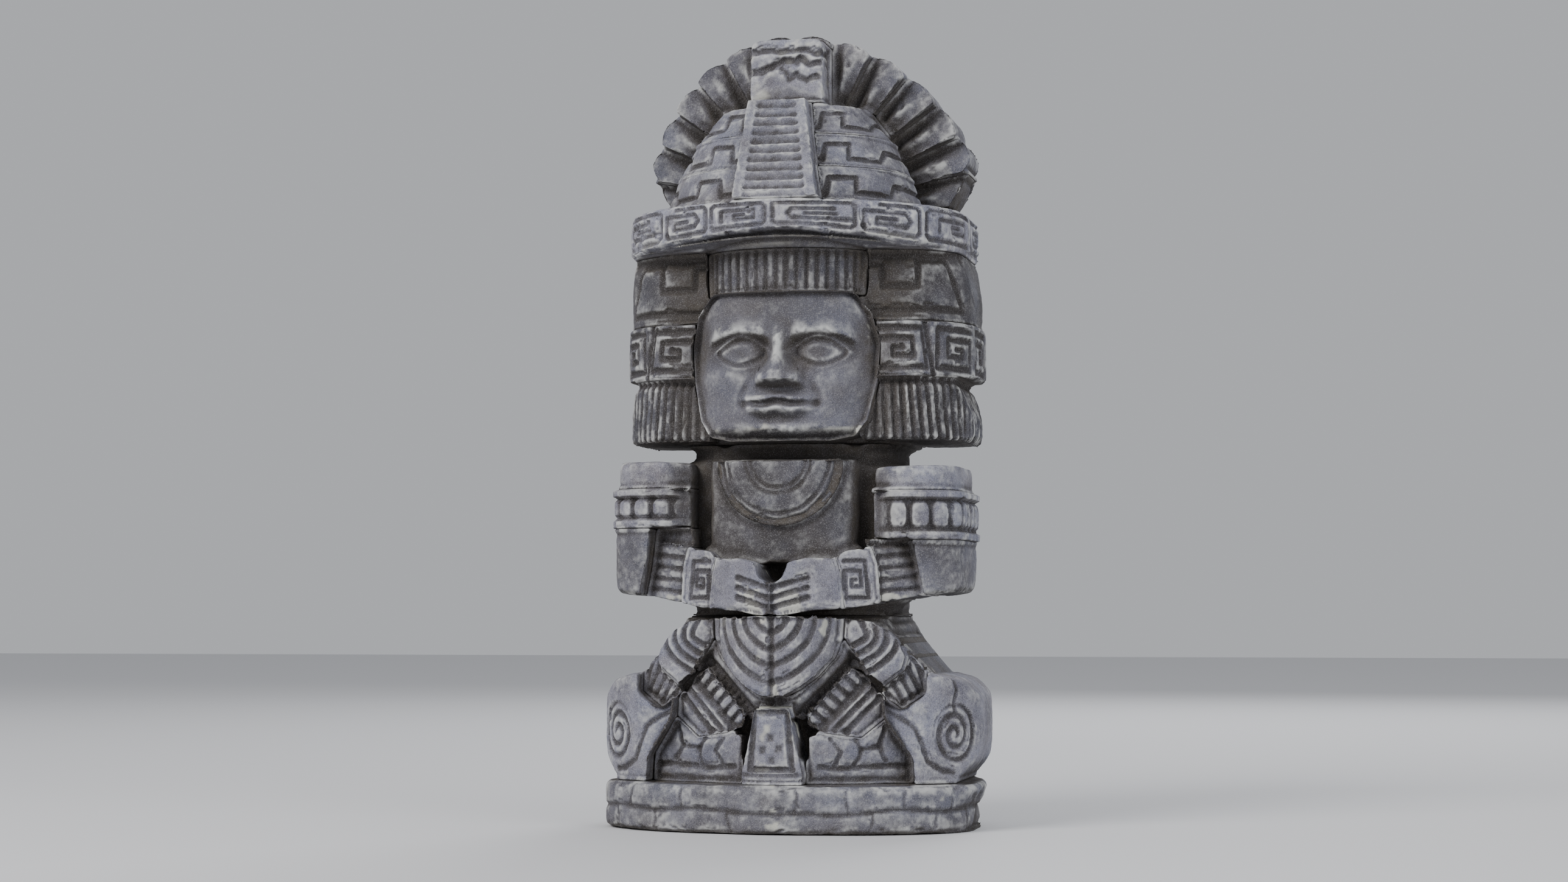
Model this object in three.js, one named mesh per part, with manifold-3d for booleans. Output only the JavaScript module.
// A carved stone idol: a seated figure with folded hands on a bow-fronted plinth, a broad head between
// patterned side blocks, and a headdress of a brim, a stepped temple and a fan of feathers.
// Millimetres, +Z up. The figure faces -Y, its own left hand is on +X, and the origin is the middle of
// the plinth's underside. Every carved block is one closed solid, a joint's width from its neighbours.
import * as THREE from "three";
import { mergeVertices } from "three/addons/utils/BufferGeometryUtils.js";
import Module from "manifold-3d";

const wasm = await Module();
wasm.setup();

// ---------------------------------------------------------------- driving sizes, in millimetres
const JOINT = 0.3; // clear joint between neighbouring blocks
const HALF_WIDTH = 106; // of the plinth, at its widest
const DEPTH_SCALE = 1; // stretches every plan from front to back
const PLINTH_HEIGHT = 26.5;
const LEGS_HEIGHT = 90.4;
const TRUNK_HEIGHT = 94.5;
const HEAD_HEIGHT = 105.9;
const BRIM_HEIGHT = 24.5;
const TIER_HEIGHTS = [20.1, 19.5, 19.2]; // the temple's steps, lowest first
const TABLET_HEIGHT = 37;
const EDGE = 2.4; // bevel along the edges of the slabs
const HEAD_SHIFT = 2; // these four sit this far towards the figure's left
const TEMPLE_SHIFT = -1.5;
const TABLET_SHIFT = -0.5;
const FAN_SHIFT = 1.3;
const RELIEF_REACH = 130; // half length of the cutting blanks, more than any depth of the figure
const STEP_COUNT = 11;
const STAIR_FOOT_FRONT = 86; // distance of the stair's lowest edge in front of the axis
const STAIR_HEAD_FRONT = 55;
const STAIR_SHIFT = 2.5; // middle of the stair's foot, towards the figure's left
const STAIR_LEAN = -5; // how far its head stands from above its foot
const STAIR_THICKNESS = 24;
const RAIL_WIDTH = 6;
const RAIL_PROUD = 2.6;
const FEATHERS_A_SIDE = 7;
const FAN_RADIUS = 98.5;
const FAN_SQUASH = 0.925; // feathers that stand upright are this much shorter
const FAN_HUB_RADIUS = 13.5;
const FAN_HUB_HEIGHT = 9.2; // hub centre above the brim
const FAN_CROWN = [-26, 36.5]; // its front and back faces at the crown, measured behind the axis
const FAN_ENDS = [20, 58.5]; // and at its two ends, which sweep backwards
const ROOT_FRONT = 11.5; // front face of the block that the fan stands on
const FAN_DROOP = 2; // degrees that the lowest feathers hang below level

// The outlines below are drawn for this half width and these tier heights, and drawn() fits them.
const DRAWN_HALF_WIDTH = 106;
const DRAWN = { legs: 90.4, trunk: 94.5, head: 105.9 };

const tiers = {};
let top = 0;
for (const [name, height] of [
  ["plinth", PLINTH_HEIGHT],
  ["legs", LEGS_HEIGHT],
  ["trunk", TRUNK_HEIGHT],
  ["head", HEAD_HEIGHT],
  ["brim", BRIM_HEIGHT],
  ["step0", TIER_HEIGHTS[0]],
  ["step1", TIER_HEIGHTS[1]],
  ["step2", TIER_HEIGHTS[2]],
  ["tablet", TABLET_HEIGHT],
]) {
  tiers[name] = { low: top, high: top + height };
  top += height + JOINT;
}

// ---------------------------------------------------------------- materials
const stone = new THREE.MeshStandardMaterial({ color: 0x8d8d98, roughness: 0.9, metalness: 0 });
const shadedStone = new THREE.MeshStandardMaterial({ color: 0x6a6764, roughness: 0.95, metalness: 0 });
const wornStone = new THREE.MeshStandardMaterial({ color: 0xa3a3ab, roughness: 0.85, metalness: 0 });

// ---------------------------------------------------------------- solids
function solid(geometry) {
  const bare = geometry.index ? geometry.toNonIndexed() : geometry.clone();
  bare.deleteAttribute("normal");
  bare.deleteAttribute("uv");
  const merged = mergeVertices(bare, 1e-3);
  return new wasm.Manifold(
    new wasm.Mesh({
      numProp: 3,
      vertProperties: new Float32Array(merged.attributes.position.array),
      triVerts: new Uint32Array(merged.index.array),
    }),
  );
}

function geometryOf(manifold) {
  const mesh = manifold.getMesh();
  const geometry = new THREE.BufferGeometry()
    .setAttribute("position", new THREE.BufferAttribute(new Float32Array(mesh.vertProperties), 3))
    .setIndex(new THREE.BufferAttribute(new Uint32Array(mesh.triVerts), 1));
  geometry.computeVertexNormals();
  return geometry;
}

function extruded(points, depth, bevel = 0, steps = 1) {
  const shape = new THREE.Shape(points.map(([x, y]) => new THREE.Vector2(x, y)));
  return new THREE.ExtrudeGeometry(shape, {
    depth: depth - 2 * bevel,
    steps,
    bevelEnabled: bevel > 0,
    bevelThickness: bevel,
    bevelSize: bevel,
    bevelOffset: -bevel,
    bevelSegments: 1,
  }).translate(0, 0, bevel);
}

// A prism over a plan outline. shrink is how much narrower and shallower its top is than its foot.
function prism(points, low, high, { bevel = 0, shrink = 0 } = {}) {
  const geometry = extruded(points, high - low, bevel);
  const position = geometry.attributes.position;
  const reach = Math.max(...points.map(([x]) => Math.abs(x)));
  for (let i = 0; i < position.count; i++) {
    const scale = 1 - (shrink / reach) * (position.getZ(i) / (high - low));
    position.setXY(i, position.getX(i) * scale, position.getY(i) * scale);
  }
  return solid(geometry.translate(0, 0, low));
}

// A blank with an outline seen from the front, [x, z], running from front to back along Y.
function blank(points, front = -RELIEF_REACH, back = RELIEF_REACH) {
  return solid(
    extruded(points, back - front)
      .rotateX(Math.PI / 2)
      .translate(0, back, 0),
  );
}

// ---------------------------------------------------------------- outlines
// A plan seen from above: a bowed front about y = bowCentre, straight flanks to y = flankEnd, and a
// back at y = back. Powers over 2 make the corners squarer. grow moves the whole outline outwards.
const BOW_STEPS = 20;
const BACK_STEPS = 10;
function plan({ half, front, bowCentre, flankEnd, back, bowPower = 2, backPower = 4 }, grow = 0) {
  const halfWidth = (half * HALF_WIDTH) / DRAWN_HALF_WIDTH + grow;
  const points = [];
  const arc = (centre, reach, power, from, steps) => {
    for (let i = 0; i <= steps; i++) {
      const angle = from + (Math.PI * i) / steps;
      const c = Math.cos(angle);
      const s = Math.sin(angle);
      points.push([
        halfWidth * Math.sign(c) * Math.abs(c) ** (2 / power),
        centre * DEPTH_SCALE + Math.sign(s) * reach * Math.abs(s) ** (2 / power),
      ]);
    }
  };
  arc(bowCentre, (front + bowCentre) * DEPTH_SCALE + grow, bowPower, Math.PI, BOW_STEPS);
  arc(flankEnd, (back - flankEnd) * DEPTH_SCALE + grow, backPower, 0, BACK_STEPS);
  return points.filter(([x, y], i) => {
    const [px, py] = points[(i + points.length - 1) % points.length];
    return Math.hypot(x - px, y - py) > 0.05;
  });
}

// Fits a drawn outline, [x, height above the tier's foot], to the figure's width and the tier.
function drawn(tier, points) {
  const { low, high } = tiers[tier];
  const across = HALF_WIDTH / DRAWN_HALF_WIDTH;
  const up = (high - low) / DRAWN[tier];
  return points.map(([x, z]) => [x * across, low + z * up]);
}

const mirrored = (points) => points.map(([x, z]) => [-x, z]).reverse();

// Both sides of an outline that is drawn for x >= 0 from the top down.
const doubled = (points) => [...points.map(([x, z]) => [-x, z]), ...[...points].reverse()];

// Moves every edge of an outline outwards by distance.
function grown(points, distance) {
  const turn = THREE.ShapeUtils.area(points.map(([x, y]) => new THREE.Vector2(x, y))) > 0 ? 1 : -1;
  const edgeNormal = ([ax, ay], [bx, by]) => {
    const length = Math.hypot(bx - ax, by - ay);
    return [(turn * (by - ay)) / length, (-turn * (bx - ax)) / length];
  };
  return points.map((p, i) => {
    const [ax, ay] = edgeNormal(points[(i + points.length - 1) % points.length], p);
    const [bx, by] = edgeNormal(p, points[(i + 1) % points.length]);
    const share = distance / Math.max(0.35, 1 + ax * bx + ay * by);
    return [p[0] + (ax + bx) * share, p[1] + (ay + by) * share];
  });
}

// ---------------------------------------------------------------- the assembly
const idol = new THREE.Group();
function add(name, body, material = stone) {
  const mesh = new THREE.Mesh(geometryOf(body), material);
  mesh.name = name;
  idol.add(mesh);
}

// A block carved in relief: its outline seen from the front, as deep as its surface plan reaches,
// less the core behind it and the outlines of the blocks that were carved before it.
function relief(points, surface, core, earlier = []) {
  const { min, max } = bounds(points);
  const body = blank(points)
    .intersect(prism(plan(surface), min[1] - 1, max[1] + 1))
    .subtract(core);
  return earlier.reduce((left, other) => left.subtract(blank(grown(other, JOINT))), body);
}

function bounds(points) {
  const pick = (by) => [0, 1].map((axis) => by(...points.map((p) => p[axis])));
  return { min: pick(Math.min), max: pick(Math.max) };
}

const sides = [
  ["left", (points) => points],
  ["right", mirrored],
];

// ---------------------------------------------------------------- plinth
const plinthPlan = {
  half: 106,
  front: 86,
  bowCentre: -28,
  flankEnd: 2,
  back: 60,
  bowPower: 1.9,
  backPower: 2.6,
};
add("plinth", prism(plan(plinthPlan), tiers.plinth.low, tiers.plinth.high, { bevel: EDGE }));

// ---------------------------------------------------------------- seat and crossed legs
const seatPlan = { half: 90, front: 54, bowCentre: -15, flankEnd: 20, back: 52, bowPower: 2.2 };
const seatOutline = [[57, 90.4], [64, 78], [78, 62], [88, 51], [90, 33], [90, 13], [84, 0]];
function seat(grow) {
  const outline = drawn("legs", doubled(seatOutline));
  const { min, max } = bounds(outline);
  return blank(grow ? grown(outline, grow) : outline).intersect(
    prism(plan(seatPlan, grow), min[1] - grow - 1, max[1] + grow + 1),
  );
}
add("seat_block", seat(0), shadedStone);

const apronHalf = [[36.5, 90.2], [36, 80], [31.5, 68], [23, 58], [14, 51], [6, 47]];
const legsOutlines = {
  loincloth_tab: doubled([[9, 41.5], [10.5, 35], [17.8, 5], [17.2, 0]]),
  apron: doubled(apronHalf),
  foot: [
    [16, 36.8], [22, 42.4], [40, 62.2], [48, 57], [57.5, 46],
    [58.5, 36], [45, 24.8], [28, 27.2], [19, 31],
  ],
  calf: [
    [36, 78], [48, 60], [40, 63], [22, 43.5], [15, 36],
    [JOINT / 2, 36], [JOINT / 2, 47.5], [9, 47.5], [26, 62],
  ],
  thigh: [
    [35, 89.8], [50, 88.5], [60, 83], [66.5, 77], [70, 68],
    [68, 61], [57, 52], [47, 60], [35, 76],
  ],
  shin_wrap: [[62, 60], [66, 76], [72, 70], [79, 61.6], [80, 49], [67, 40], [55, 49]],
  rock: [[58, 36], [72, 15], [73, 0], [17.6, 0], [17.6, 26], [28, 30]],
  knee_scroll: [
    [80, 60.5], [97, 56.5], [106, 48], [109, 30], [105, 12], [95, 0],
    [74, 0], [73, 14], [57, 34], [57, 49], [68, 62],
  ],
};
const legsSurfaces = {
  loincloth_tab: { front: 84, half: 52 },
  apron: { front: 84, half: 46 },
  foot: { front: 76, half: 150, bowCentre: -10, bowPower: 1.1 },
  calf: { front: 72, half: 150, bowCentre: -10, bowPower: 1.1 },
  thigh: { front: 64, half: 101, bowPower: 2.8 },
  shin_wrap: { front: 66, half: 98 },
  rock: { front: 80, half: 150, bowCentre: -10, bowPower: 1.1 },
  knee_scroll: { front: 78, half: 108 },
};
const centred = ["loincloth_tab", "apron"];
const legsPlan = { bowCentre: -20, flankEnd: 10, back: 38 };
const seatCut = seat(JOINT);
const legsCarved = [];
for (const [name, outline] of Object.entries(legsOutlines)) {
  const surface = { ...legsPlan, ...legsSurfaces[name] };
  const fitted = drawn("legs", outline);
  if (centred.includes(name)) {
    add(name, relief(fitted, surface, seatCut, legsCarved), wornStone);
    legsCarved.push(fitted);
    continue;
  }
  for (const [side, hand] of sides)
    add(`${side}_${name}`, relief(hand(fitted), surface, seatCut, legsCarved));
  legsCarved.push(fitted, mirrored(fitted));
}

// ---------------------------------------------------------------- trunk with the chest
const trunkPlan = { half: 64, front: 46, bowCentre: -12, flankEnd: 24, back: 50, bowPower: 2.4 };
const chestPlan = { half: 49, front: 63, bowCentre: -34, flankEnd: -20, back: 0, bowPower: 2.6 };
const chestOutline = [[48, 86], [49, 60], [44, 32], [40, 28]];
function trunk(grow) {
  const { low, high } = tiers.trunk;
  const outline = drawn("trunk", doubled(chestOutline));
  const { min, max } = bounds(outline);
  const chest = blank(grow ? grown(outline, grow) : outline).intersect(
    prism(plan(chestPlan, grow), min[1] - grow - 1, max[1] + grow + 1),
  );
  return prism(plan(trunkPlan, grow), low, high).add(chest);
}

// The hanging breast plate: a half disc below the chin, standing proud of the chest.
const PECTORAL_RADIUS = 36;
const PECTORAL_PROUD = 4;
const PECTORAL_STEPS = 16;
const pectoralOutline = [];
for (let i = 0; i <= PECTORAL_STEPS; i++) {
  const angle = Math.PI + (Math.PI * i) / PECTORAL_STEPS;
  pectoralOutline.push([PECTORAL_RADIUS * Math.cos(angle), 85 + PECTORAL_RADIUS * Math.sin(angle)]);
}
add("trunk", trunk(0), shadedStone);
const trunkCut = trunk(JOINT);
const pectoralPlan = {
  ...chestPlan,
  front: chestPlan.front + PECTORAL_PROUD,
  half: chestPlan.half + PECTORAL_PROUD,
  flankEnd: -22,
  back: -20,
};
add("pectoral", relief(drawn("trunk", pectoralOutline), pectoralPlan, trunkCut));

// ---------------------------------------------------------------- arms
// Each side has its own heights, because the figure's right arm is carved a little higher.
const armHeights = {
  left: { bandLow: 41, bandHigh: 68, shoulderHigh: 82.5 },
  right: { bandLow: 48, bandHigh: 70, shoulderHigh: 86 },
};
const armPlan = {
  half: 98,
  front: 66,
  bowCentre: -28,
  flankEnd: 14,
  back: 36,
  bowPower: 3.2,
  backPower: 3,
};
const bandPlan = { ...armPlan, half: 101, front: 68.5 };
const elbowPlan = { ...armPlan, half: 100, front: 67 };
const forearmPlan = { half: 118, front: 86, bowCentre: -20, flankEnd: 2, back: 4, bowPower: 1.08 };
const handPlan = { ...forearmPlan, front: 88 };
const ARM_INNER = 50.5;

// The blocks of one arm in carving order, as [name, outline, surface plan, material].
function armBlocks({ bandLow, bandHigh, shoulderHigh }) {
  const hand = [
    [JOINT / 2, 17], [6, 20.5], [9, 29], [19, 31.5], [33, 31.5],
    [35.5, 22.5], [37.5, 3.5], [4, 0.2], [JOINT / 2, 2],
  ];
  const cuff = [[32.5, 31.7], [37, 35.5], [51, 37.5], [54, 28], [55.5, 7.9], [53, 5.6], [37, 3]];
  const sleeve = [[48, 37], [49, bandLow], [72, bandLow], [75, 27], [78.5, 10.9], [53, 6]];
  const elbow = [[101, bandLow], [103, 24], [102, 16], [96, 12], [77, 9.5], [75, 20], [70, bandLow]];
  const band = [[ARM_INNER, bandLow], [104, bandLow], [104, bandHigh], [ARM_INNER, bandHigh]];
  const shoulder = [
    [ARM_INNER, bandHigh], [104, bandHigh], [103, shoulderHigh - 3],
    [99, shoulderHigh], [ARM_INNER, shoulderHigh - 1],
  ];
  return [
    ["hand", hand, handPlan, wornStone],
    ["cuff", cuff, forearmPlan, wornStone],
    ["sleeve", sleeve, forearmPlan, stone],
    ["elbow", elbow, elbowPlan, stone],
    ["bead_band", band, bandPlan, stone],
    ["shoulder", shoulder, armPlan, stone],
  ];
}

for (const [side, hand] of sides) {
  const carved = [];
  for (const [name, outline, surface, material] of armBlocks(armHeights[side])) {
    const fitted = hand(drawn("trunk", outline));
    add(`${side}_${name}`, relief(fitted, surface, trunkCut, carved), material);
    carved.push(fitted);
  }
}

// ---------------------------------------------------------------- head, face and side blocks
const headPlan = { half: 62, front: 40, bowCentre: -10, flankEnd: 34, back: 56, bowPower: 2.4 };
const headCore = (grow) => prism(plan(headPlan, grow), tiers.head.low - grow, tiers.head.high + grow);
const shifted = (manifold, x) => manifold.translate([x, 0, 0]);
add("head_block", shifted(headCore(0), HEAD_SHIFT), shadedStone);
const headCut = headCore(JOINT);

const faceOutline = doubled([
  [39, 81.8], [48.5, 70], [52.5, 54], [51.5, 35], [46.5, 12], [40, 3], [27, 0.2],
]);
const facePlan = { half: 58, front: 74, bowCentre: -30, flankEnd: -29, back: -20, bowPower: 2.1 };

// The nose and lips of the face are simple wedges on its middle line. A wedge is drawn in side view,
// [height, distance out], and extruded across X; topWidth is how wide it is at its highest point.
const sideView = new THREE.Matrix4().makeBasis(
  new THREE.Vector3(0, 0, 1),
  new THREE.Vector3(0, -1, 0),
  new THREE.Vector3(1, 0, 0),
);
function wedge(width, profile, topWidth = width) {
  const geometry = extruded(profile, width).applyMatrix4(sideView).translate(-width / 2, 0, 0);
  const position = geometry.attributes.position;
  const heights = profile.map(([z]) => z);
  const low = Math.min(...heights);
  const rise = Math.max(...heights) - low;
  for (let i = 0; i < position.count; i++) {
    const share = (position.getZ(i) - low) / rise;
    position.setX(i, position.getX(i) * (1 + (topWidth / width - 1) * share));
  }
  return solid(geometry);
}

function face() {
  const base = relief(drawn("head", faceOutline), facePlan, headCut);
  const up = (z) => tiers.head.low + (z * (tiers.head.high - tiers.head.low)) / DRAWN.head;
  const side = (points) => points.map(([z, y]) => [up(z), y * DEPTH_SCALE]);
  const nose = wedge(24, side([[33, 60], [33, 77], [36, 85], [66, 76], [72, 60]]), 9);
  const lips = wedge(30, side([[17, 60], [18, 76], [25, 77.5], [28, 60]]));
  return base.add(nose).add(lips);
}
add("face", shifted(face(), HEAD_SHIFT), wornStone);

const headCarved = [drawn("head", faceOutline)];
const fringeOutline = drawn("head", doubled([[46, DRAWN.head], [44, 81]]));
const fringePlan = { half: 50, front: 67, bowCentre: -28, flankEnd: -27, back: -20, bowPower: 2.1 };
const fringe = relief(fringeOutline, fringePlan, headCut, headCarved);
add("fringe", shifted(fringe, HEAD_SHIFT), shadedStone);
headCarved.push(fringeOutline);

const EAR_INNER = 42;
const earPlan = { half: 101, front: 74, bowCentre: -4, flankEnd: 26, back: 46, backPower: 3.2 };
const earBlocks = {
  upper_ear_block: {
    outline: [[EAR_INNER, 67.2], [102, 67.2], [102, 72], [94, 105.5], [EAR_INNER, 105.5]],
    surface: { ...earPlan, half: 99, front: 66 },
  },
  scroll_ear_block: {
    outline: [
      [EAR_INNER, 36], [97, 36], [101, 38], [104, 44], [104, 60], [101, 67.2], [EAR_INNER, 67.2],
    ],
    surface: earPlan,
  },
  tassel: {
    outline: [[EAR_INNER, 1], [96, 1], [101, 9], [91, 36], [EAR_INNER, 36]],
    surface: { ...earPlan, half: 99, front: 71 },
  },
};
for (const [side, hand] of sides) {
  const carved = [...headCarved];
  for (const [name, { outline, surface }] of Object.entries(earBlocks)) {
    const fitted = hand(drawn("head", outline));
    add(`${side}_${name}`, shifted(relief(fitted, surface, headCut, carved), HEAD_SHIFT));
    carved.push(fitted);
  }
}

// ---------------------------------------------------------------- brim
const brimPlan = { half: 97.5, front: 88, bowCentre: -4, flankEnd: 40, back: 66, backPower: 3 };
const brim = prism(plan(brimPlan), tiers.brim.low, tiers.brim.high, { bevel: EDGE });
add("headdress_brim", brim, wornStone);

// ---------------------------------------------------------------- stepped temple and its stair
const stairFoot = tiers.step0.low;
const stairHead = tiers.step2.high;

// Side view of the stair, [y, z]: a flight of equal steps, or a plain slope for its rails.
function stairProfile(proud, stepped) {
  const rise = stairHead - stairFoot;
  const run = STAIR_FOOT_FRONT - STAIR_HEAD_FRONT;
  const slope = (z) => -DEPTH_SCALE * (STAIR_FOOT_FRONT - (run * (z - stairFoot)) / rise);
  const points = [];
  if (stepped)
    for (let i = 0; i < STEP_COUNT; i++) {
      const foot = stairFoot + (rise * i) / STEP_COUNT;
      points.push([slope(foot), foot], [slope(foot), foot + rise / STEP_COUNT]);
    }
  else points.push([slope(stairFoot) - proud, stairFoot], [slope(stairHead) - proud, stairHead]);
  points.push([slope(stairHead) + STAIR_THICKNESS, stairHead]);
  points.push([slope(stairFoot) + STAIR_THICKNESS, stairFoot]);
  return points;
}

// Extrudes a side view across X between x = from and x = to.
function across(profile, from, to) {
  return solid(
    extruded(profile, to - from)
      .rotateX(Math.PI / 2)
      .rotateZ(Math.PI / 2)
      .translate(from, 0, 0),
  );
}

const STAIR_FOOT_HALF = 24;
const STAIR_HEAD_HALF = 16.5;
const stairOutline = (grow = 0) => [
  [-STAIR_FOOT_HALF - grow, stairFoot - grow],
  [STAIR_FOOT_HALF + grow, stairFoot - grow],
  [STAIR_LEAN + STAIR_HEAD_HALF + grow, stairHead + grow],
  [STAIR_LEAN - STAIR_HEAD_HALF - grow, stairHead + grow],
];
function stair() {
  const wide = STAIR_FOOT_HALF + 1;
  const clear = [stairFoot - 1, stairFoot - 1, stairHead + 1, stairHead + 1];
  const innerOutline = stairOutline(-RAIL_WIDTH).map(([x], i) => [x, clear[i]]);
  const rails = across(stairProfile(RAIL_PROUD, false), -wide, wide).subtract(blank(innerOutline));
  return across(stairProfile(0, true), -wide, wide).add(rails).intersect(blank(stairOutline()));
}
const stairRoom = stairProfile(RAIL_PROUD, false).map(([y, z], i) => [
  i < 2 ? -RELIEF_REACH : y + JOINT,
  z,
]);
const stairHole = across(stairRoom, -RELIEF_REACH, RELIEF_REACH).intersect(blank(stairOutline(JOINT)));
const stairCut = shifted(stairHole, STAIR_SHIFT);
add("temple_stair", shifted(stair(), STAIR_SHIFT), wornStone);

const STEP_SHRINK = [7, 9.5, 15];
const stepPlans = [
  { half: 74, front: 78 },
  { half: 67, front: 67 },
  { half: 57.5, front: 56 },
];
const fanCuts = [];
stepPlans.forEach((size, i) => {
  const back = ROOT_FRONT - 3 - i;
  const shape = { bowCentre: -8, flankEnd: 4, back, bowPower: 2.1, backPower: 5, ...size };
  const { low, high } = tiers[`step${i}`];
  const step = (grow) =>
    shifted(prism(plan(shape, grow), low - grow, high + grow, { shrink: STEP_SHRINK[i] }), TEMPLE_SHIFT);
  add(`temple_step_${i + 1}`, step(0).subtract(stairCut));
  fanCuts.push(step(JOINT));
});

// ---------------------------------------------------------------- front tablet of the crest
const TABLET_HALF = 22;
const TABLET_FRONT = 40;
const TABLET_CORNER = 4;
const widthShare = HALF_WIDTH / DRAWN_HALF_WIDTH;
const tabletHalf = TABLET_HALF * widthShare;
const tabletOutline = doubled([
  [tabletHalf - TABLET_CORNER, tiers.tablet.high],
  [tabletHalf, tiers.tablet.high - TABLET_CORNER],
  [tabletHalf, tiers.tablet.low],
]);
const tabletBack = ROOT_FRONT * DEPTH_SCALE;
const tablet = blank(tabletOutline, -TABLET_FRONT * DEPTH_SCALE, tabletBack - JOINT);
add("crest_tablet", shifted(tablet, TABLET_SHIFT), wornStone);
fanCuts.push(shifted(blank(grown(tabletOutline, JOINT), -RELIEF_REACH, tabletBack), TABLET_SHIFT));

// ---------------------------------------------------------------- feather fan
const hubHeight = tiers.brim.high + JOINT + FAN_HUB_HEIGHT;
const fanRadius = FAN_RADIUS * widthShare;

// One feather between two directions from the hub, in degrees, with a rounded tip.
const TIP_SHARES = [0.972, 0.992, 1, 0.992, 0.972];
function featherOutline(from, to) {
  const foot = FAN_HUB_RADIUS + JOINT;
  const point = (degrees, radius, inset = 0) => {
    const angle = (degrees * Math.PI) / 180 + inset / radius;
    const upright = foot + (radius - foot) * FAN_SQUASH;
    return [radius * Math.cos(angle), hubHeight + upright * Math.sin(angle)];
  };
  const tip = TIP_SHARES.map((share, i) => {
    const inset = i === 0 ? JOINT / 2 : i === TIP_SHARES.length - 1 ? -JOINT / 2 : 0;
    return point(from + ((to - from) * i) / (TIP_SHARES.length - 1), fanRadius * share, inset);
  });
  return [point(from, foot, JOINT / 2), ...tip, point(to, foot, -JOINT / 2)];
}

const fanSpan = 180 + 2 * FAN_DROOP;
const featherCount = 2 * FEATHERS_A_SIDE;
for (let i = 0; i < featherCount; i++) {
  const from = -FAN_DROOP + (fanSpan * i) / featherCount;
  const to = -FAN_DROOP + (fanSpan * (i + 1)) / featherCount;
  const side = i < FEATHERS_A_SIDE ? "left" : "right";
  const place = i < FEATHERS_A_SIDE ? i + 1 : featherCount - i;
  const sweep = Math.cos((((from + to) / 2) * Math.PI) / 180) ** 2;
  const [front, back] = FAN_CROWN.map((y, face) => (y + (FAN_ENDS[face] - y) * sweep) * DEPTH_SCALE);
  const feather = shifted(blank(featherOutline(from, to), front, back), FAN_SHIFT);
  add(`${side}_feather_${place}`, fanCuts.reduce((body, cut) => body.subtract(cut), feather));
}

// The block under the fan: a low wedge on each side of a round hub that the feathers spring from.
const ROOT_HALF = 80;
const ROOT_TAPER = 4;
const HUB_STEPS = 24;
function crestRoot() {
  const low = tiers.brim.high + JOINT;
  const rootHalf = ROOT_HALF * widthShare;
  const droop = Math.tan((FAN_DROOP * Math.PI) / 180);
  const shoulder = (x) => hubHeight - x * droop - 2 * JOINT;
  const wedges = doubled([
    [FAN_HUB_RADIUS, shoulder(FAN_HUB_RADIUS)],
    [rootHalf, shoulder(rootHalf)],
    [rootHalf - ROOT_TAPER, low],
  ]);
  const hub = [];
  for (let i = 0; i < HUB_STEPS; i++) {
    const angle = (2 * Math.PI * i) / HUB_STEPS;
    hub.push([FAN_HUB_RADIUS * Math.cos(angle), hubHeight + FAN_HUB_RADIUS * Math.sin(angle)]);
  }
  const aboveBrim = [[-FAN_RADIUS, low], [FAN_RADIUS, low], [FAN_RADIUS, top], [-FAN_RADIUS, top]];
  const front = ROOT_FRONT * DEPTH_SCALE;
  const back = FAN_ENDS[1] * DEPTH_SCALE;
  const round = blank(hub, front, back).intersect(blank(aboveBrim));
  return shifted(blank(wedges, front, back).add(round), FAN_SHIFT);
}
add("crest_root", crestRoot(), shadedStone);

export default idol;
